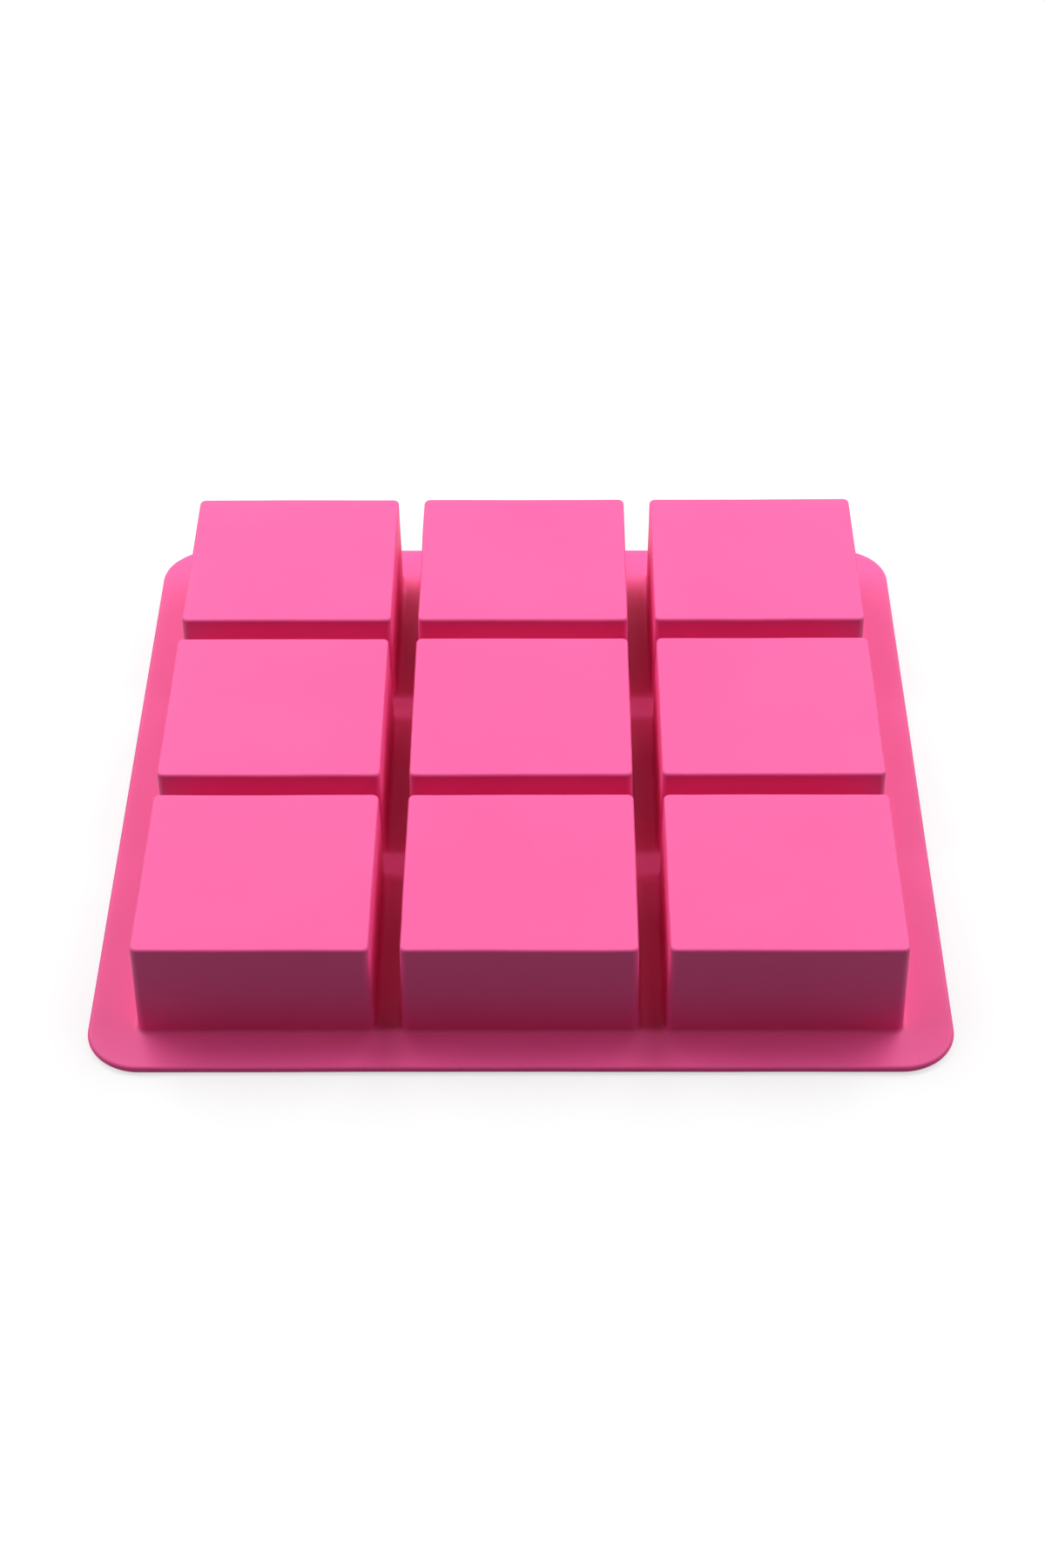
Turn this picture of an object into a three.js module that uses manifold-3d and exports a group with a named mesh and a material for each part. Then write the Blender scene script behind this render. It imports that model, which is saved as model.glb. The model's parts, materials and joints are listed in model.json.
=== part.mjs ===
// Nine-cavity silicone soap mould, lying mouth down on its rim.
// The whole mould is one silicone moulding. It is built here as its natural regions:
// a rim flange, the grid of webs that holds the nine mouths, and nine cups.
// Millimetres, +Z up. The origin is the centre of the underside, the plane of the nine mouths.
import * as THREE from "three";
import { mergeVertices } from "three/addons/utils/BufferGeometryUtils.js";
import Module from "manifold-3d";

const wasm = await Module();
wasm.setup();

// Driving sizes of the whole mould
const rowNames = ["front", "middle", "back"];
const columnNames = ["left", "centre", "right"];
const sheetThickness = 2;
const flangeWidth = 13;
const flangeCornerRadius = 14.5;
const grooveWidth = 7;
const draftAngle = THREE.MathUtils.degToRad(0.9);

// Outside of a cup
const cupSide = 60;
const cupRise = 28.8;
const cupCornerRadius = 2.2;
const cupFloorEdgeRadius = 0.8;
const cupRootRadius = 1.2;

// Inside of a cup, the cavity that shapes one bar
const wallThickness = 1.8;
const floorThickness = 2;
const cavityCornerRadius = 1.5;
const cavityFloorEdgeRadius = 1.2;
const mouthLipRadius = 0.6;

// Fineness of the round stretches, and how far a cutter runs past what it cuts
const cupCornerSteps = 4;
const flangeCornerSteps = 12;
const filletSteps = 3;
const rimEdgeSteps = 6;
const cutOverrun = 1;
const sharpestRadius = 0.1;

// Sizes that follow from the driving ones
const draftSlope = Math.tan(draftAngle);
const cupRootSide = cupSide + 2 * cupRise * draftSlope;
const pitch = cupRootSide + grooveWidth;
const cavityRootSide = cupRootSide - 2 * wallThickness;
const cavityTop = cupRise - floorThickness;
const webSideX = (columnNames.length - 1) * pitch + cupRootSide;
const webSideY = (rowNames.length - 1) * pitch + cupRootSide;

const silicone = new THREE.MeshStandardMaterial({
  name: "pink_silicone",
  color: new THREE.Color(0.93, 0.1, 0.34),
  roughness: 0.5,
  metalness: 0,
});

/** One ring of a loft: a rounded rectangle at height z, anticlockwise from above. */
function roundedRing(sideX, sideY, cornerRadius, cornerSteps, z) {
  const radius = Math.max(cornerRadius, sharpestRadius);
  const corners = [
    [1, 1],
    [-1, 1],
    [-1, -1],
    [1, -1],
  ];
  return corners.flatMap(([signX, signY], quarter) => {
    const centreX = signX * (sideX / 2 - radius);
    const centreY = signY * (sideY / 2 - radius);
    return Array.from({ length: cornerSteps + 1 }, (_, step) => {
      const angle = (Math.PI / 2) * (quarter + step / cornerSteps);
      return [centreX + radius * Math.cos(angle), centreY + radius * Math.sin(angle), z];
    });
  });
}

/**
 * A closed solid lofted through rounded rectangles. Each point of the profile moves the
 * outline out by its offset, corners included, at its height z. The outline is convex, so
 * each flat end is a fan of faces from one of its corners.
 */
function loft({ sideX, sideY, cornerRadius, cornerSteps, profile }) {
  const rings = profile.map(({ offset, z }) =>
    roundedRing(sideX + 2 * offset, sideY + 2 * offset, cornerRadius + offset, cornerSteps, z),
  );
  const count = rings[0].length;
  const lastRing = (rings.length - 1) * count;
  const faces = [];
  for (let i = 1; i < count - 1; i++) {
    faces.push([0, i + 1, i], [lastRing, lastRing + i, lastRing + i + 1]);
  }
  for (let i = 0; i < count; i++) {
    const next = (i + 1) % count;
    for (let low = 0; low < lastRing; low += count) {
      const high = low + count;
      faces.push([low + i, low + next, high + next], [low + i, high + next, high + i]);
    }
  }
  const geometry = new THREE.BufferGeometry();
  geometry.setAttribute("position", new THREE.Float32BufferAttribute(rings.flat(2), 3));
  geometry.setIndex(faces.flat());
  return geometry;
}

/** Profile of a foot that flares out by the radius where it meets the plane at z. */
function flaredFoot(radius, z) {
  return Array.from({ length: filletSteps + 1 }, (_, step) => {
    const angle = ((Math.PI / 2) * step) / filletSteps;
    return { offset: radius * (1 - Math.sin(angle)), z: z + radius * (1 - Math.cos(angle)) };
  });
}

/** Profile of a top edge that is rounded in by the radius where it ends at z. */
function roundedTop(radius, z) {
  return Array.from({ length: filletSteps + 1 }, (_, step) => {
    const angle = ((Math.PI / 2) * step) / filletSteps;
    return { offset: -radius * (1 - Math.cos(angle)), z: z - radius * (1 - Math.sin(angle)) };
  });
}

/** The same profile with the mould's draft: the walls lean in as they rise from the sheet. */
function drafted(profile) {
  return profile.map(({ offset, z }) => ({ offset: offset - z * draftSlope, z }));
}

/** A closed geometry as a solid that can be joined and cut. */
function solidOf(geometry) {
  const bare = new THREE.BufferGeometry();
  bare.setAttribute("position", geometry.getAttribute("position"));
  bare.setIndex(geometry.getIndex());
  const merged = mergeVertices(bare);
  const mesh = new wasm.Mesh({
    numProp: 3,
    vertProperties: merged.getAttribute("position").array,
    triVerts: new Uint32Array(merged.getIndex().array),
  });
  return new wasm.Manifold(mesh);
}

/** A solid as a geometry with one normal for each flat face. */
function geometryOf(solid) {
  const mesh = solid.getMesh();
  const geometry = new THREE.BufferGeometry();
  geometry.setAttribute("position", new THREE.BufferAttribute(mesh.vertProperties, 3));
  geometry.setIndex(new THREE.BufferAttribute(mesh.triVerts, 1));
  const flat = geometry.toNonIndexed();
  flat.computeVertexNormals();
  return flat;
}

/** One named region of the moulding. */
function region(name, solid) {
  const mesh = new THREE.Mesh(geometryOf(solid), silicone);
  mesh.name = name;
  return mesh;
}

/** The cavity as a solid plug, seen from the sheet's upper face at z = 0, mouth lip included. */
function cavityPlug() {
  const sheetUnderside = -sheetThickness;
  const profile = [
    { offset: mouthLipRadius, z: sheetUnderside - cutOverrun },
    ...flaredFoot(mouthLipRadius, sheetUnderside),
    ...roundedTop(cavityFloorEdgeRadius, cavityTop),
  ];
  return loft({
    sideX: cavityRootSide,
    sideY: cavityRootSide,
    cornerRadius: cavityCornerRadius,
    cornerSteps: cupCornerSteps,
    profile: drafted(profile),
  });
}

/** Walls and floor of one cup, standing on the sheet's upper face at z = 0. */
function cupSolid() {
  const outside = loft({
    sideX: cupRootSide,
    sideY: cupRootSide,
    cornerRadius: cupCornerRadius,
    cornerSteps: cupCornerSteps,
    profile: drafted([
      ...flaredFoot(cupRootRadius, 0),
      ...roundedTop(cupFloorEdgeRadius, cupRise),
    ]),
  });
  return solidOf(outside).subtract(solidOf(cavityPlug()));
}

/** The flat grid of webs that carries the cups, pierced by their mouths. */
function webGridSolid() {
  const plate = new THREE.BoxGeometry(webSideX, webSideY, sheetThickness);
  plate.translate(0, 0, sheetThickness / 2);
  return cupPlaces().reduce((grid, { x, y }) => {
    const plug = cavityPlug().translate(x, y, sheetThickness);
    return grid.subtract(solidOf(plug));
  }, solidOf(plate));
}

/** The free margin round the webs, with round corners and a fully rounded edge. */
function rimFlangeSolid() {
  const edgeRadius = sheetThickness / 2;
  const profile = Array.from({ length: rimEdgeSteps + 1 }, (_, step) => {
    const angle = Math.PI * (step / rimEdgeSteps - 0.5);
    return {
      offset: edgeRadius * (Math.cos(angle) - 1),
      z: edgeRadius * (1 + Math.sin(angle)),
    };
  });
  const slab = loft({
    sideX: webSideX + 2 * flangeWidth,
    sideY: webSideY + 2 * flangeWidth,
    cornerRadius: flangeCornerRadius,
    cornerSteps: flangeCornerSteps,
    profile,
  });
  const window = new THREE.BoxGeometry(webSideX, webSideY, sheetThickness + 2 * cutOverrun);
  window.translate(0, 0, sheetThickness / 2);
  return solidOf(slab).subtract(solidOf(window));
}

/** Name and centre of each cup, in rows from front to back. */
function cupPlaces() {
  return rowNames.flatMap((rowName, row) =>
    columnNames.map((columnName, column) => ({
      name: `cup_${rowName}_${columnName}`,
      x: (column - (columnNames.length - 1) / 2) * pitch,
      y: (row - (rowNames.length - 1) / 2) * pitch,
    })),
  );
}

const sheet = new THREE.Group();
sheet.add(region("rim_flange", rimFlangeSolid()));
sheet.add(region("web_grid", webGridSolid()));

const cups = new THREE.Group();
cups.position.z = sheetThickness;
const oneCup = cupSolid();
for (const { name, x, y } of cupPlaces()) {
  const cup = region(name, oneCup);
  cup.position.set(x, y, 0);
  cups.add(cup);
}

const mould = new THREE.Group();
mould.name = "soap_mould";
mould.add(sheet, cups);

export default mould;
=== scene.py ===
"""Nine-cup silicone soap mould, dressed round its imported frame.

The mould lies mouth down on its rim, as in the photograph: nine square cups in three rows, their
floors up, on a flat rim with round corners. Each region of the moulding is modelled afresh over its
plain solid, with its real roundings, the slight sag and bow of soft silicone, a satin outside and
smooth cavities. Lengths are metres, +Z is up and the origin is the centre of the underside.
"""

import json
import logging
import math
from collections.abc import Callable, Mapping, Sequence
from dataclasses import dataclass
from enum import Enum

import bmesh
import bpy
from mathutils import Matrix, Vector

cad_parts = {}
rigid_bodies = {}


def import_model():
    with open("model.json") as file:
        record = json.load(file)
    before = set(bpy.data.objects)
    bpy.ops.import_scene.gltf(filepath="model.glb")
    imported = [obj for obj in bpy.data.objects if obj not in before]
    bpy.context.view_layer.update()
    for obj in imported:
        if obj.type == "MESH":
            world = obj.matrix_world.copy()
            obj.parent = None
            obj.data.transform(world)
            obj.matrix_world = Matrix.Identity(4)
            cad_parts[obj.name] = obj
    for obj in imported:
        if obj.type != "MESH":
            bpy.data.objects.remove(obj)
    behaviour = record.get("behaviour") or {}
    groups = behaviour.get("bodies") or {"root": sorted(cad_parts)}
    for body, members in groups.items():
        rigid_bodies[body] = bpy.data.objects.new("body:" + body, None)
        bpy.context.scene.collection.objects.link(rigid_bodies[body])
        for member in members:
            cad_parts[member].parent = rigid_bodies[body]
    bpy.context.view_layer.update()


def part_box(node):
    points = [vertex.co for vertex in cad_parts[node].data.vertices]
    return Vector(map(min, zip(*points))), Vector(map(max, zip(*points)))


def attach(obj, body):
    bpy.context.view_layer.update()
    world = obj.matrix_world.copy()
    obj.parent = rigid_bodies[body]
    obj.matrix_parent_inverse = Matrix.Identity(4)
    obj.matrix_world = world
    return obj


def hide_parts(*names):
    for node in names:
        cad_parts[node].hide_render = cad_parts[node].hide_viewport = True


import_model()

MM = 0.001
BODY = "root"

# Points closer together than this are one point.
SAME_PLACE = 0.001 * MM
# An edge that turns by more than this stays sharp when its piece is shaded smooth.
SHARP_TURN = math.radians(40)
# A face is level if its normal, which is 1 long, rises or falls by more than this.
LEVEL_NORMAL = 0.99

log = logging.getLogger("soap_mould")


class Surface(Enum):
    """The two finishes that the mould's tool leaves, in the order of a piece's material slots."""

    OUTSIDE = 0
    CAVITY = 1


@dataclass(frozen=True)
class Step:
    """One step of a shell's outline: how far it moves in, and how far it rises."""

    inward: float
    rise: float


def hollow_round(radius: float, steps: int) -> list[Step]:
    """Steps of a hollow quarter round, flat at its start and upright at its end.

    Args:
        radius: Radius of the round.
        steps: Number of steps.

    Returns:
        The steps, from the outermost one inwards.
    """
    turns = [math.pi / 2 * step / steps for step in range(steps + 1)]
    return [
        Step(
            inward=radius * (math.sin(after) - math.sin(before)),
            rise=radius * (math.cos(before) - math.cos(after)),
        )
        for before, after in zip(turns, turns[1:])
    ]


def full_round(radius: float, steps: int) -> list[Step]:
    """Steps of a full quarter round, upright at its start and flat at its end, upwards."""
    return [Step(inward=step.rise, rise=step.inward) for step in hollow_round(radius, steps)]


def smooth_rise(value: float, start: float, end: float) -> float:
    """The share of the way from start to end that a value has gone, eased in and out."""
    share = min(max((value - start) / (end - start), 0), 1)
    return share * share * (3 - 2 * share)


def is_level(normal: Vector) -> bool:
    """Whether a face with this normal lies level, whichever side is up."""
    return abs(normal.z) > LEVEL_NORMAL


def pick_up(piece: bpy.types.Object) -> None:
    """Selects a piece alone and makes it the active one.

    Args:
        piece: The piece.
    """
    bpy.ops.object.select_all(action="DESELECT")
    bpy.context.view_layer.objects.active = piece
    piece.select_set(True)


def starting_block(name: str, low: Vector, high: Vector) -> bpy.types.Object:
    """Adds a block, or a flat square if both corners have one height, as the start of a piece.

    Args:
        name: Name of the piece.
        low: Lowest corner.
        high: Highest corner.

    Returns:
        The block's object.
    """
    bpy.ops.object.select_all(action="DESELECT")
    if high.z > low.z:
        bpy.ops.mesh.primitive_cube_add(size=1, location=(low + high) / 2, scale=high - low)
    else:
        bpy.ops.mesh.primitive_plane_add(size=high.x - low.x, location=(low + high) / 2)
    bpy.ops.object.transform_apply(location=True, rotation=True, scale=True)
    block = bpy.context.object
    block.name = name
    return block


def copy_to(pattern: bpy.types.Object, name: str, place: Vector) -> bpy.types.Object:
    """Copies a piece that was modelled round the origin, and puts the copy's own mesh in its place.

    Args:
        pattern: The piece to copy.
        name: Name of the copy.
        place: Where the pattern's origin goes.

    Returns:
        The copy.
    """
    pick_up(pattern)
    bpy.ops.object.duplicate(linked=False)
    copy = bpy.context.object
    copy.name = name
    copy.location = place
    bpy.ops.object.transform_apply(location=True, rotation=True, scale=True)
    return copy


class Workpiece:
    """One mesh on the bench, kept in edit mode while it is shaped."""

    def __init__(self, piece: bpy.types.Object) -> None:
        """Puts a piece on the bench, all of it selected.

        Args:
            piece: The piece.
        """
        pick_up(piece)
        self.piece = piece
        bpy.ops.object.mode_set(mode="EDIT")
        bpy.ops.mesh.select_mode(type="FACE")
        bpy.ops.mesh.select_all(action="SELECT")

    def add_square(self, centre: Vector, side: float) -> None:
        """Adds a flat square to the mesh, and leaves it selected alone.

        Args:
            centre: Centre of the square.
            side: Side of the square.
        """
        bpy.ops.mesh.select_mode(type="FACE")
        bpy.ops.mesh.select_all(action="DESELECT")
        bpy.ops.mesh.primitive_plane_add(size=side, location=centre)

    def round_corners(self, radius: float, steps: int) -> None:
        """Rounds the corners of the selected square, with so many edges round each corner."""
        bpy.ops.mesh.bevel(offset=radius, segments=steps, affect="VERTICES")

    def raise_shell(self, steps: Sequence[Step]) -> None:
        """Raises the selected flat face through the steps of an outline, with walls behind it."""
        for step in steps:
            bpy.ops.mesh.inset(
                thickness=step.inward,
                depth=step.rise,
                use_boundary=True,
                use_even_offset=True,
            )

    def flip_shell(self) -> None:
        """Turns the faces of the shell that holds the selected faces inside out."""
        bpy.ops.mesh.select_linked()
        bpy.ops.mesh.flip_normals()

    def pick_faces(self, wanted: Callable[[Vector, Vector], bool]) -> None:
        """Selects the faces that pass a test, and no others.

        Args:
            wanted: The test, given a face's centre and its normal.
        """
        bpy.ops.mesh.select_mode(type="FACE")
        bpy.ops.mesh.select_all(action="DESELECT")
        shape = bmesh.from_edit_mesh(self.piece.data)
        for face in shape.faces:
            if wanted(face.calc_center_median(), face.normal):
                face.select_set(True)
        bmesh.update_edit_mesh(self.piece.data)

    def pick_points(self, wanted: Callable[[Vector], bool]) -> None:
        """Selects the points that pass a test, and no others.

        Args:
            wanted: The test, given a point's place.
        """
        bpy.ops.mesh.select_mode(type="VERT")
        bpy.ops.mesh.select_all(action="DESELECT")
        shape = bmesh.from_edit_mesh(self.piece.data)
        for point in shape.verts:
            if wanted(point.co):
                point.select_set(True)
        shape.select_flush_mode()
        bmesh.update_edit_mesh(self.piece.data)

    def bridge_open_edges(self) -> None:
        """Joins the two open edges of the mesh with a band of faces."""
        bpy.ops.mesh.select_mode(type="EDGE")
        bpy.ops.mesh.select_all(action="DESELECT")
        bpy.ops.mesh.select_non_manifold()
        bpy.ops.mesh.bridge_edge_loops()

    def cap_open_edge(self) -> None:
        """Closes the one open edge of the mesh with a flat face."""
        bpy.ops.mesh.select_mode(type="EDGE")
        bpy.ops.mesh.select_all(action="DESELECT")
        bpy.ops.mesh.select_non_manifold()
        bpy.ops.mesh.edge_face_add()

    def cut_across(self, axis: int, places: Sequence[float]) -> None:
        """Cuts every face along planes square to an axis, so that the surface can bend there.

        Args:
            axis: 0, 1 or 2 for planes square to X, Y or Z.
            places: Where the planes lie along the axis.
        """
        normal = Vector([float(index == axis) for index in range(3)])
        for place in places:
            bpy.ops.mesh.select_all(action="SELECT")
            bpy.ops.mesh.bisect(plane_co=normal * place, plane_no=normal)

    def leave_bench(self) -> bpy.types.Object:
        """Turns all faces outwards and ends the editing.

        Returns:
            The shaped object.
        """
        bpy.ops.mesh.select_mode(type="FACE")
        bpy.ops.mesh.select_all(action="SELECT")
        bpy.ops.mesh.normals_make_consistent(inside=False)
        bpy.ops.object.mode_set(mode="OBJECT")
        return self.piece


def apply_modifier(piece: bpy.types.Object, kind: str, settings: Mapping[str, object]) -> None:
    """Adds a modifier to a piece and applies it.

    Args:
        piece: The piece.
        kind: The modifier's type.
        settings: Its settings.
    """
    pick_up(piece)
    bpy.ops.object.modifier_add(type=kind)
    modifier = piece.modifiers[-1]
    for name, value in settings.items():
        setattr(modifier, name, value)
    bpy.ops.object.modifier_apply(modifier=modifier.name)


def merge_doubles(piece: bpy.types.Object) -> None:
    """Merges the points of a piece that lie in the same place, where cuts met.

    Args:
        piece: The piece.
    """
    pick_up(piece)
    bpy.ops.object.mode_set(mode="EDIT")
    bpy.ops.mesh.select_all(action="SELECT")
    bpy.ops.mesh.remove_doubles(threshold=SAME_PLACE)
    bpy.ops.object.mode_set(mode="OBJECT")


def smooth_shading(piece: bpy.types.Object) -> None:
    """Shades the roundings of a piece smooth, and keeps its sharp edges sharp."""
    pick_up(piece)
    bpy.ops.object.shade_smooth_by_angle(angle=SHARP_TURN)


@dataclass(frozen=True)
class Unevenness:
    """The slow waves of a soft moulding that lies as it fell, never quite flat or square.

    Each axis has waves of its own, a little longer than the last axis's, so that they never match.
    """

    swing: Vector
    middle: Vector
    span: float
    longer_share: float = 1 / 7
    layers: int = 1

    def work_into(self, piece: bpy.types.Object, freedom: Callable[[Vector], float]) -> None:
        """Moves the piece's points by slow waves, one for each axis.

        Args:
            piece: The piece.
            freedom: The share of the full wave that a point may follow, by its place.
        """
        group_name = "freedom"
        group = piece.vertex_groups.new(name=group_name)
        for point in piece.data.vertices:
            group.add([point.index], freedom(point.co), "REPLACE")
        for axis, direction in enumerate("XYZ"):
            if not self.swing[axis]:
                continue
            waves = bpy.data.textures.new(f"waves_{direction}", type="CLOUDS")
            waves.noise_scale = self.span * (1 + axis * self.longer_share)
            waves.noise_depth = self.layers
            settings = {
                "texture": waves,
                "texture_coords": "LOCAL",
                "direction": direction,
                "mid_level": self.middle[axis],
                "strength": self.swing[axis],
                "vertex_group": group_name,
            }
            apply_modifier(piece, "DISPLACE", settings)
            bpy.data.textures.remove(waves)
        piece.vertex_groups.clear()


class Socket:
    """A number inside a material, which Python's own signs work out through Math nodes."""

    def __init__(self, shop: "PaintShop", output: bpy.types.NodeSocket | None) -> None:
        """Wraps an output socket of a material that is being made, if the node has one."""
        self.shop = shop
        self.output = output

    def _math(self, operation: str, first: "Value", second: "Value") -> "Socket":
        """Adds a Math node that works out one operation on two values."""
        return self.shop.node("ShaderNodeMath", {"operation": operation}, {0: first, 1: second})

    def __add__(self, other: "Value") -> "Socket":
        """Adds a value."""
        return self._math("ADD", self, other)

    def __radd__(self, other: "Value") -> "Socket":
        """Adds this number to a value."""
        return self._math("ADD", other, self)

    def __sub__(self, other: "Value") -> "Socket":
        """Takes a value away."""
        return self._math("SUBTRACT", self, other)

    def __rsub__(self, other: "Value") -> "Socket":
        """Takes this number away from a value."""
        return self._math("SUBTRACT", other, self)

    def __mul__(self, other: "Value") -> "Socket":
        """Multiplies by a value."""
        return self._math("MULTIPLY", self, other)

    def __rmul__(self, other: "Value") -> "Socket":
        """Multiplies a value by this number."""
        return self._math("MULTIPLY", other, self)

    def spread(self, low: float, high: float) -> "Socket":
        """Spreads low to high over 0 to 1, eased in and out, and cuts off what lies past them."""
        settings = {"interpolation_type": "SMOOTHSTEP"}
        return self.shop.node("ShaderNodeMapRange", settings, {0: self, 1: low, 2: high})


Value = Socket | float | Sequence[float]


class PaintShop:
    """A material or a world being made, node by node."""

    def __init__(self, made: bpy.types.Material | bpy.types.World) -> None:
        """Clears the material or world for its own nodes.

        Args:
            made: The material or world.
        """
        made.use_nodes = True
        self.made = made
        self.nodes = made.node_tree.nodes
        self.links = made.node_tree.links
        self.nodes.clear()

    def node(
        self,
        kind: str,
        settings: Mapping[str, object],
        inputs: Mapping[int | str, Value],
        output: int | str = 0,
    ) -> Socket:
        """Adds one node, sets it and joins it up.

        Args:
            kind: The node's type.
            settings: Its settings, set before its sockets.
            inputs: The value or link of each socket.
            output: The output to give back.

        Returns:
            That output.
        """
        made = self.nodes.new(kind)
        for name, setting in settings.items():
            setattr(made, name, setting)
        for name, value in inputs.items():
            if isinstance(value, Socket):
                self.links.new(value.output, made.inputs[name])
            else:
                made.inputs[name].default_value = value
        return Socket(self, made.outputs[output] if made.outputs else None)

    def noise(self, place: Socket, size: float, layers: float) -> Socket:
        """Noise, about 0.5 on average: lumps of a real size, with so many finer layers on them."""
        inputs = {"Vector": place, "Scale": 1 / size, "Detail": layers}
        return self.node("ShaderNodeTexNoise", {}, inputs, "Fac")

    def mix_colours(self, share: Socket, first: Sequence[float], second: Sequence[float]) -> Socket:
        """Mixes two colours.

        Args:
            share: How much of the second colour there is.
            first: The first colour.
            second: The second colour.

        Returns:
            The mixed colour.
        """
        # A Mix node has sockets for every kind of value. These are the ones for colours.
        first_colour, second_colour, mixed_colour = 6, 7, 2
        inputs = {"Factor": share, first_colour: (*first, 1), second_colour: (*second, 1)}
        return self.node("ShaderNodeMix", {"data_type": "RGBA"}, inputs, mixed_colour)


@dataclass(frozen=True)
class Silicone:
    """Solid-coloured moulding silicone, as one face of the tool leaves it."""

    name: str
    colour: tuple[float, float, float]
    roughness: float
    roughness_swing: float
    grain_size: float
    grain_height: float
    grain_layers: float = 2
    ripple_size: float = 7 * MM
    ripple_height: float = 0.012 * MM
    ripple_layers: float = 1
    cloud_size: float = 38 * MM
    cloud_layers: float = 3
    thinnest_cloud: float = 0.3
    thickest_cloud: float = 0.7
    darker_share: float = 0.02
    paler_share: float = 0.02 / 3
    specular: float = 0.4
    refraction: float = 1.41

    def material(self) -> bpy.types.Material:
        """Makes the material.

        Returns:
            The material.
        """
        shop = PaintShop(bpy.data.materials.new(self.name))
        place = shop.node("ShaderNodeTexCoord", {}, {}, "Object")
        clouds = shop.noise(place, self.cloud_size, self.cloud_layers)
        grain = shop.noise(place, self.grain_size, self.grain_layers)
        ripple = shop.noise(place, self.ripple_size, self.ripple_layers)
        # The height is in metres already, so the bump adds no scale of its own.
        height = grain * self.grain_height + ripple * self.ripple_height
        bump = shop.node("ShaderNodeBump", {}, {"Strength": 1, "Distance": 1, "Height": height})
        darker = [channel * (1 - self.darker_share) for channel in self.colour]
        paler = [channel + (1 - channel) * self.paler_share for channel in self.colour]
        share = clouds.spread(self.thinnest_cloud, self.thickest_cloud)
        colour = shop.mix_colours(share, darker, paler)
        # The two noises are 1 together on average, so the roughness swings about its own value.
        roughness = self.roughness + (clouds + grain - 1) * self.roughness_swing
        shader = shop.node(
            "ShaderNodeBsdfPrincipled",
            {},
            {
                "Base Color": colour,
                "Roughness": roughness,
                "Normal": bump,
                "IOR": self.refraction,
                "Specular IOR Level": self.specular,
            },
        )
        shop.node("ShaderNodeOutputMaterial", {}, {"Surface": shader})
        return shop.made


@dataclass(frozen=True)
class PaleFloor:
    """A plain floor that looks white but for the object's shadow, and lights it as a grey one.

    What is seen of it is part glow and part lit paint, which shows the shadow. Past the shadow's
    reach it goes over to plain white.
    """

    name: str = "pale_floor"
    bounce: float = 0.35
    glow: float = 0.68
    shade: float = 0.36
    shadow_reach: float = 280 * MM
    white_from: float = 600 * MM

    def material(self) -> bpy.types.Material:
        """Makes the material.

        Returns:
            The material.
        """
        shop = PaintShop(bpy.data.materials.new(self.name))
        bounce = shop.node("ShaderNodeBsdfDiffuse", {}, {"Color": (*[self.bounce] * 3, 1)})
        lit = shop.node("ShaderNodeBsdfDiffuse", {}, {"Color": (*[self.shade] * 3, 1)})
        glow = shop.node("ShaderNodeEmission", {}, {"Color": (1, 1, 1, 1), "Strength": self.glow})
        seen = shop.node("ShaderNodeAddShader", {}, {0: lit, 1: glow})
        white = shop.node("ShaderNodeEmission", {}, {"Color": (1, 1, 1, 1), "Strength": 1.0})
        place = shop.node("ShaderNodeTexCoord", {}, {}, "Object")
        away = shop.node("ShaderNodeVectorMath", {"operation": "LENGTH"}, {0: place}, "Value")
        far = away.spread(self.shadow_reach, self.white_from)
        shown = shop.node("ShaderNodeMixShader", {}, {0: far, 1: seen, 2: white})
        mix = shop.node("ShaderNodeMixShader", {}, {0: seen_rays(shop), 1: bounce, 2: shown})
        shop.node("ShaderNodeOutputMaterial", {}, {"Surface": mix})
        return shop.made


def seen_rays(shop: PaintShop) -> Socket:
    """The rays that show the background: those of the eye, of gloss and of glass.

    Args:
        shop: The material or world being made.

    Returns:
        1 on such a ray, 0 on any other.
    """
    names = ("Is Camera Ray", "Is Glossy Ray", "Is Transmission Ray")
    camera, glossy, through = (shop.node("ShaderNodeLightPath", {}, {}, name) for name in names)
    return 1 - (1 - camera) * (1 - glossy) * (1 - through)


class Region:
    """One region of the moulding, which is modelled, dressed and joined to the frame."""

    node: str
    unevenness: Unevenness | None = None

    def mesh(self) -> bpy.types.Object:
        """Models the region; each kind of region has its own way."""
        raise NotImplementedError

    def freedom(self, point: Vector) -> float:
        """The share of the waves that a point follows; none, where a region has no waves."""
        return 0

    def in_cavity(self, centre: Vector, normal: Vector) -> bool:
        """Whether a face belongs to a cavity; most regions have none."""
        return False

    def dress(self, finishes: Sequence[bpy.types.Material]) -> None:
        """Models the region, gives it its finishes and joins it to the frame.

        Args:
            finishes: The outside's finish and the cavity's, in the order of Surface.
        """
        piece = self.mesh()
        for finish in finishes:
            piece.data.materials.append(finish)
        # The faces are told apart while the walls are still plain, before the waves.
        for face in piece.data.polygons:
            cavity = self.in_cavity(face.center, face.normal)
            face.material_index = (Surface.CAVITY if cavity else Surface.OUTSIDE).value
        if self.unevenness:
            self.unevenness.work_into(piece, self.freedom)
        smooth_shading(piece)
        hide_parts(self.node)
        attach(piece, BODY)
        log.info("%s: %d faces", piece.name, len(piece.data.polygons))


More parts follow.
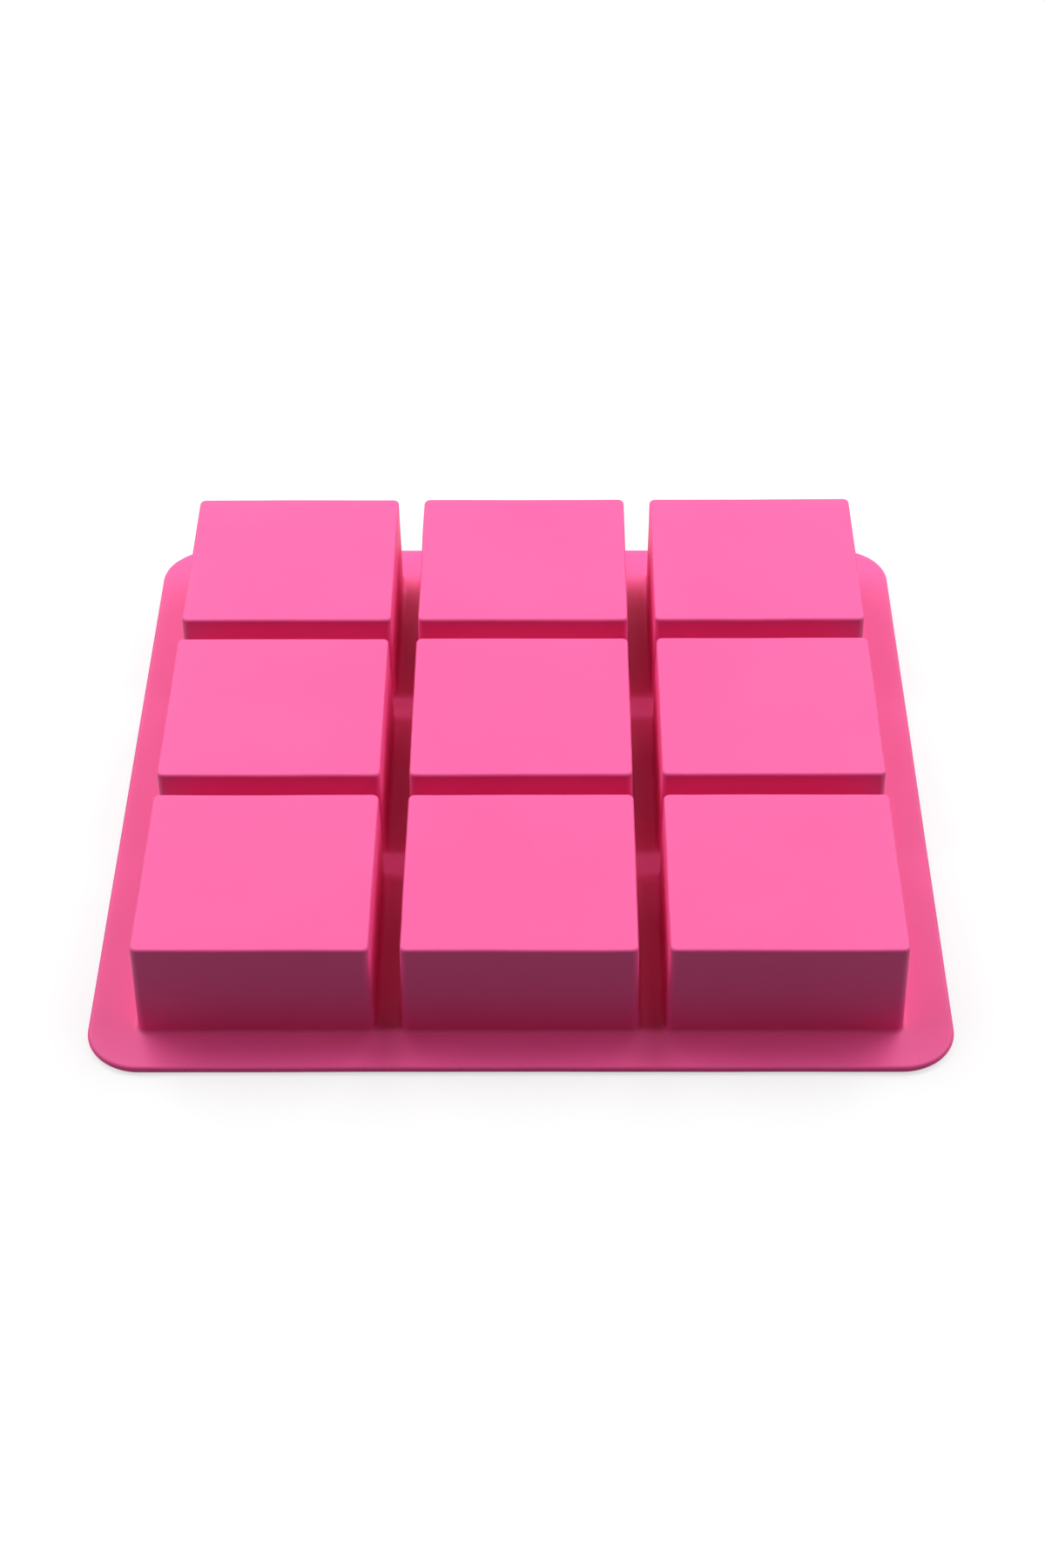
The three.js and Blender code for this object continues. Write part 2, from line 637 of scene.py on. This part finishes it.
@dataclass
class CupPattern:
    """The straight cup that the nine are copied from, mouth down: drafted walls and a floor.

    A narrow flat band lies next to each rounding, so that its soft shading ends there and stays
    off the walls and the floor.
    """

    node: str
    wall: float = 1.8 * MM
    floor: float = 2 * MM
    draft: float = math.radians(0.9)
    corner_radius: float = 2.2 * MM
    floor_edge_radius: float = 0.8 * MM
    root_radius: float = 1.2 * MM
    cavity_corner_radius: float = 1.5 * MM
    cavity_edge_radius: float = 0.7 * MM
    corner_steps: int = 10
    round_steps: int = 6
    edge_band: float = 0.2 * MM

    def __post_init__(self) -> None:
        """Reads the outer sizes from one of the frame's cups, and models the pattern."""
        low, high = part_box(self.node)
        self.foot_side = high.x - low.x
        self.rise = high.z - low.z
        self.mouth_side = self.foot_side - 2 * (self.root_radius + self.wall)
        self.straight_cup = self.mesh()

    def drafted_wall(self, height: float) -> list[Step]:
        """Steps of a drafted wall of this height, with a narrow band at each end."""
        rises = (self.edge_band, height - 2 * self.edge_band, self.edge_band)
        return [Step(inward=rise * math.tan(self.draft), rise=rise) for rise in rises]

    def mesh(self) -> bpy.types.Object:
        """Models the pattern, with the centre of its foot at the origin.

        Returns:
            The pattern's object.
        """
        half = Vector((self.foot_side / 2, self.foot_side / 2, 0))
        work = Workpiece(starting_block("cup_pattern", -half, half))
        work.round_corners(self.corner_radius + self.root_radius, self.corner_steps)
        straight = self.rise - self.root_radius - self.floor_edge_radius
        band = Step(inward=self.edge_band, rise=0)
        work.raise_shell(
            [
                *hollow_round(self.root_radius, self.round_steps),
                *self.drafted_wall(straight),
                *full_round(self.floor_edge_radius, self.round_steps),
                band,
            ]
        )
        work.add_square(Vector(), self.mouth_side)
        work.round_corners(self.cavity_corner_radius, self.corner_steps)
        depth = self.rise - self.floor - self.cavity_edge_radius
        edge = full_round(self.cavity_edge_radius, self.round_steps)
        work.raise_shell([*self.drafted_wall(depth), *edge, band])
        work.flip_shell()
        work.bridge_open_edges()
        return work.leave_bench()


@dataclass
class Cup(Region):
    """One of the nine cups: a copy of the pattern that leans, sags and waves a little."""

    node: str
    lean: tuple[float, float]
    pattern: CupPattern
    sag: float = 0.2 * MM
    bend_spacing: float = 3 * MM
    free_share: float = 1 / 3
    inward_share: float = 0.3
    downward_share: float = 0.5
    foot_height: float = 0.01 * MM
    unevenness: Unevenness = Unevenness(
        swing=Vector((0.3, 0.3, 0.16)) * MM, middle=Vector((0.5, 0.5, 1)), span=26 * MM
    )

    def __post_init__(self) -> None:
        """Reads the cup's place from the frame."""
        self.low, self.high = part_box(self.node)
        self.centre = (self.low + self.high) / 2

    def mesh(self) -> bpy.types.Object:
        """Copies the pattern to the cup's place, and lets the copy stand as photographed.

        Returns:
            The cup's object.
        """
        foot = Vector((self.centre.x, self.centre.y, self.low.z))
        work = Workpiece(copy_to(self.pattern.straight_cup, f"{self.node}_silicone", foot))
        # The floor moves off true, and takes the upper ends of the walls with it.
        work.pick_points(self.is_high)
        bpy.ops.transform.translate(value=(*self.lean, 0))
        self.cut_panels(work)
        self.sag_floor(work)
        return work.leave_bench()

    def is_high(self, point: Vector) -> bool:
        """Whether a point is in the upper half of the cup, where the floor is."""
        return point.z > self.centre.z

    def cut_panels(self, work: Workpiece) -> None:
        """Cuts the walls and the floor into a grid, so that they can bend.

        Args:
            work: The cup on the bench.
        """
        count = round(self.pattern.foot_side / self.bend_spacing / 2)
        offsets = [self.bend_spacing * step for step in range(1 - count, count)]
        work.cut_across(0, [self.centre.x + offset for offset in offsets])
        work.cut_across(1, [self.centre.y + offset for offset in offsets])
        heights = int(self.pattern.rise / self.bend_spacing)
        work.cut_across(2, [self.low.z + self.bend_spacing * step for step in range(1, heights)])

    def sag_floor(self, work: Workpiece) -> None:
        """Lets the floor sag, most of all in its middle.

        Args:
            work: The cup on the bench.
        """
        middle = self.centre.xy + Vector(self.lean)
        reach = self.bend_spacing / 2
        work.pick_points(lambda point: self.is_high(point) and (point.xy - middle).length < reach)
        bpy.ops.transform.translate(
            value=(0, 0, -self.sag),
            use_proportional_edit=True,
            proportional_edit_falloff="SMOOTH",
            proportional_size=self.pattern.foot_side / 2,
        )

    def freedom(self, point: Vector) -> float:
        """The share of the waves that a point follows: none at the foot, all near the floor."""
        root = self.low.z + self.pattern.root_radius
        return smooth_rise(point.z, root, self.high.z - self.pattern.rise * self.free_share)

    def in_cavity(self, centre: Vector, normal: Vector) -> bool:
        """Whether a face lies in the cavity: it looks inwards or down, and isn't in the foot.

        Args:
            centre: Centre of the face.
            normal: Its normal.

        Returns:
            Whether it does.
        """
        out = (centre - self.centre).xy.normalized()
        looks_in = out.dot(normal.xy) < -self.inward_share
        looks_down = normal.z < -self.downward_share
        return centre.z > self.low.z + self.foot_height and (looks_in or looks_down)


@dataclass
class WebGrid(Region):
    """The flat webs that carry the cups, pierced by their mouths, whose lips are rounded."""

    mouth_side: float
    mouths: Sequence[Vector]
    node: str = "web_grid"
    mouth_corner_radius: float = 1.5 * MM
    lip_radius: float = 0.6 * MM
    overrun: float = 0.5 * MM
    outer_band: float = 0.1 * MM
    corner_steps: int = 10
    round_steps: int = 5

    def __post_init__(self) -> None:
        """Reads the grid's box from the frame."""
        self.low, self.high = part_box(self.node)

    def mesh(self) -> bpy.types.Object:
        """Models the webs: a plate, pierced at each mouth by one cutter.

        Returns:
            The webs' object.
        """
        plate = starting_block(f"{self.node}_silicone", self.low, self.high)
        cutter = self.mouth_cutter()
        for mouth in self.mouths:
            punch = copy_to(cutter, "punch", Vector((mouth.x, mouth.y, 0)))
            settings = {"object": punch, "operation": "DIFFERENCE", "solver": "EXACT"}
            apply_modifier(plate, "BOOLEAN", settings)
            bpy.data.objects.remove(punch)
        bpy.data.objects.remove(cutter)
        merge_doubles(plate)
        return plate

    def mouth_cutter(self) -> bpy.types.Object:
        """A solid the shape of a mouth at the origin, which flares out by the lip at the underside.

        Returns:
            The cutter's object.
        """
        base = Vector((0, 0, self.low.z - self.overrun))
        half = Vector((1, 1, 0)) * (self.mouth_side / 2 + self.lip_radius)
        work = Workpiece(starting_block("mouth_cutter", base - half, base + half))
        work.round_corners(self.mouth_corner_radius + self.lip_radius, self.corner_steps)
        work.raise_shell(
            [
                Step(inward=0, rise=self.overrun),
                *hollow_round(self.lip_radius, self.round_steps),
                Step(inward=0, rise=self.high.z - self.low.z - self.lip_radius + self.overrun),
            ]
        )
        work.cap_open_edge()
        return work.leave_bench()

    def in_cavity(self, centre: Vector, normal: Vector) -> bool:
        """Whether a face is on the wall or lip of a mouth, not level or at the grid's own edge."""
        from_edge = self.high.x - max(abs(centre.x), abs(centre.y))
        return from_edge > self.outer_band and not is_level(normal)


@dataclass
class RimFlange(Region):
    """The free margin round the webs: round corners, a rounded edge and its parting line."""

    window: float
    node: str = "rim_flange"
    corner_radius: float = 14.5 * MM
    parting_line: float = 0.12 * MM
    corner_steps: int = 28
    round_steps: int = 6
    edge_band: float = 0.3 * MM
    bend_spacing: float = 6 * MM
    held_margin: float = 2.5 * MM
    unevenness: Unevenness = Unevenness(
        swing=Vector((0, 0, 0.5)) * MM, middle=Vector((0.5, 0.5, 0)), span=34 * MM
    )

    def __post_init__(self) -> None:
        """Reads the rim's box from the frame."""
        self.low, self.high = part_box(self.node)

    def mesh(self) -> bpy.types.Object:
        """Models the rim.

        Returns:
            The rim's object.
        """
        height = (self.low.z + self.high.z) / 2
        lift = Vector((0, 0, self.parting_line / 2))
        middle = Vector((0, 0, height))
        half = Vector((self.high.x - self.parting_line, self.high.y - self.parting_line, 0))
        upper = middle + lift
        work = Workpiece(starting_block(f"{self.node}_silicone", upper - half, upper + half))
        steps = [
            *full_round(self.high.z - height - self.parting_line / 2, self.round_steps),
            Step(inward=self.edge_band, rise=0),
        ]
        work.round_corners(self.corner_radius - self.parting_line, self.corner_steps)
        work.raise_shell(steps)
        work.add_square(middle - lift, 2 * half.x)
        work.round_corners(self.corner_radius - self.parting_line, self.corner_steps)
        work.raise_shell([Step(step.inward, -step.rise) for step in steps])
        work.flip_shell()
        work.bridge_open_edges()
        self.raise_parting_line(work, height)
        self.cut_window(work)
        return work.leave_bench()

    def raise_parting_line(self, work: Workpiece, height: float) -> None:
        """Raises the fine line where the two halves of the tool met, all round the edge.

        Args:
            work: The rim on the bench.
            height: Height of the line.
        """
        work.pick_faces(lambda centre, normal: abs(centre.z - height) < self.parting_line / 2)
        bpy.ops.mesh.extrude_region_shrink_fatten(
            TRANSFORM_OT_shrink_fatten={"value": self.parting_line, "use_even_offset": True}
        )

    def cut_window(self, work: Workpiece) -> None:
        """Opens the window that the webs fill, and cuts the margin up so that it can wave.

        Args:
            work: The rim on the bench.
        """
        edge = self.window / 2
        for axis in (0, 1):
            work.cut_across(axis, [-edge, edge])
        work.pick_faces(
            lambda centre, normal: is_level(normal) and max(abs(centre.x), abs(centre.y)) < edge
        )
        bpy.ops.mesh.bridge_edge_loops()
        count = int(self.high.x / self.bend_spacing)
        for axis in (0, 1):
            places = [self.bend_spacing * step for step in range(-count, count + 1)]
            work.cut_across(axis, places)

    def freedom(self, point: Vector) -> float:
        """The share of the waves that a point follows: none at the webs, all at the edge."""
        out = max(abs(point.x), abs(point.y)) - self.window / 2
        return smooth_rise(out, self.held_margin, self.high.x - self.window / 2)


@dataclass
class Mould:
    """The whole moulding: rim, webs and nine cups."""

    outside: Silicone
    cavity: Silicone
    leans: Mapping[str, tuple[float, float]]

    def build(self) -> None:
        """Makes every region of the moulding in its two finishes."""
        finishes = [self.outside.material(), self.cavity.material()]
        # All nine cups have one size, so the first gives the pattern's.
        pattern = CupPattern(next(iter(self.leans)))
        cups = [Cup(name, lean, pattern) for name, lean in self.leans.items()]
        webs = WebGrid(mouth_side=pattern.mouth_side, mouths=[cup.centre for cup in cups])
        rim = RimFlange(window=webs.high.x - webs.low.x)
        for region in (rim, webs, *cups):
            region.dress(finishes)
        # The pattern itself is no part of the mould.
        bpy.data.objects.remove(pattern.straight_cup)


@dataclass(frozen=True)
class Softbox:
    """A square lamp behind a large white cloth."""

    name: str
    azimuth: float
    elevation: float
    power: float
    distance: float = 1.6
    side: float = 0.9

    def place(self) -> None:
        """Hangs the lamp, turned towards the object."""
        around = math.radians(self.azimuth)
        above = math.radians(self.elevation)
        level = math.cos(above)
        outward = Vector((math.sin(around) * level, -math.cos(around) * level, math.sin(above)))
        cloth = bpy.data.lights.new(self.name, "AREA")
        cloth.shape = "SQUARE"
        cloth.size = self.side
        cloth.energy = self.power
        lamp = bpy.data.objects.new(self.name, cloth)
        lamp.location = outward * self.distance
        lamp.rotation_euler = outward.to_track_quat("Z", "Y").to_euler()
        lamp.visible_camera = False
        bpy.context.scene.collection.objects.link(lamp)


@dataclass(frozen=True)
class Viewpoint:
    """Where the photograph was taken from, found from the straight edges of the cups and rim."""

    place: Vector
    look_down: float
    turn: float
    tilt: float
    lens: float
    film: float = 36
    nearest: float = 10 * MM
    furthest: float = 100

    def set_up(self) -> None:
        """Puts the camera there."""
        camera = bpy.data.cameras.new("camera")
        camera.lens = self.lens
        camera.sensor_width = self.film
        camera.clip_start = self.nearest
        camera.clip_end = self.furthest
        holder = bpy.data.objects.new("camera", camera)
        turned = (
            Matrix.Rotation(self.turn, 4, "Z")
            @ Matrix.Rotation(math.pi / 2 - self.look_down, 4, "X")
            @ Matrix.Rotation(-self.tilt, 4, "Z")
        )
        holder.matrix_world = Matrix.Translation(self.place) @ turned
        bpy.context.scene.collection.objects.link(holder)
        bpy.context.scene.camera = holder


@dataclass(frozen=True)
class Studio:
    """The plain white studio round the mould."""

    viewpoint: Viewpoint
    softboxes: Sequence[Softbox]
    floor_side: float = 12

    def build(self) -> None:
        """Lays the floor, hangs the lamps and sets up the camera."""
        bpy.ops.object.select_all(action="DESELECT")
        bpy.ops.mesh.primitive_plane_add(size=self.floor_side, location=(0, 0, 0))
        floor = bpy.context.object
        floor.name = "floor"
        floor.data.materials.append(PaleFloor().material())
        for softbox in self.softboxes:
            softbox.place()
        self.paint_the_room()
        self.viewpoint.set_up()
        bpy.context.scene.view_settings.view_transform = "Standard"

    def paint_the_room(self) -> None:
        """Makes the room: white where it is seen, and dark to the object, which the lamps light."""
        shop = PaintShop(bpy.data.worlds.new("room"))
        inputs = {"Color": (1, 1, 1, 1), "Strength": seen_rays(shop)}
        backdrop = shop.node("ShaderNodeBackground", {}, inputs)
        shop.node("ShaderNodeOutputWorld", {}, {"Surface": backdrop})
        bpy.context.scene.world = shop.made


def main() -> None:
    """Builds the mould and its studio."""
    logging.basicConfig(level=logging.INFO, format="%(message)s")
    pink = (0.93, 0.1, 0.34)
    mould = Mould(
        outside=Silicone(
            name="satin_silicone",
            colour=pink,
            roughness=0.52,
            roughness_swing=0.04,
            grain_size=0.5 * MM,
            grain_height=0.004 * MM,
        ),
        cavity=Silicone(
            name="smooth_silicone",
            colour=pink,
            roughness=0.25,
            roughness_swing=0.05,
            grain_size=0.8 * MM,
            grain_height=0.001 * MM,
        ),
        leans={
            "cup_front_left": (0, -0.15 * MM),
            "cup_front_centre": (0, -0.15 * MM),
            "cup_front_right": (0, -0.2 * MM),
            "cup_middle_left": (-0.1 * MM, -0.45 * MM),
            "cup_middle_centre": (-0.1 * MM, -0.35 * MM),
            "cup_middle_right": (0, -0.25 * MM),
            "cup_back_left": (0.1 * MM, 0),
            "cup_back_centre": (0, 0),
            "cup_back_right": (-0.1 * MM, 0),
        },
    )
    mould.build()
    studio = Studio(
        viewpoint=Viewpoint(
            place=Vector((8.1, -616, 531.5)) * MM,
            look_down=math.radians(40.71),
            turn=math.radians(0.76),
            tilt=math.radians(0.57),
            lens=66,
        ),
        softboxes=[
            Softbox("low_back_left_softbox", azimuth=205, elevation=28, power=4.2),
            Softbox("low_back_right_softbox", azimuth=155, elevation=28, power=4.2),
            Softbox("high_back_left_softbox", azimuth=225, elevation=50, power=11.3),
            Softbox("high_back_right_softbox", azimuth=135, elevation=50, power=11.3),
            Softbox("left_softbox", azimuth=270, elevation=45, power=7.4),
            Softbox("right_softbox", azimuth=90, elevation=45, power=7.4),
        ],
    )
    studio.build()


if __name__ == "__main__":
    main()
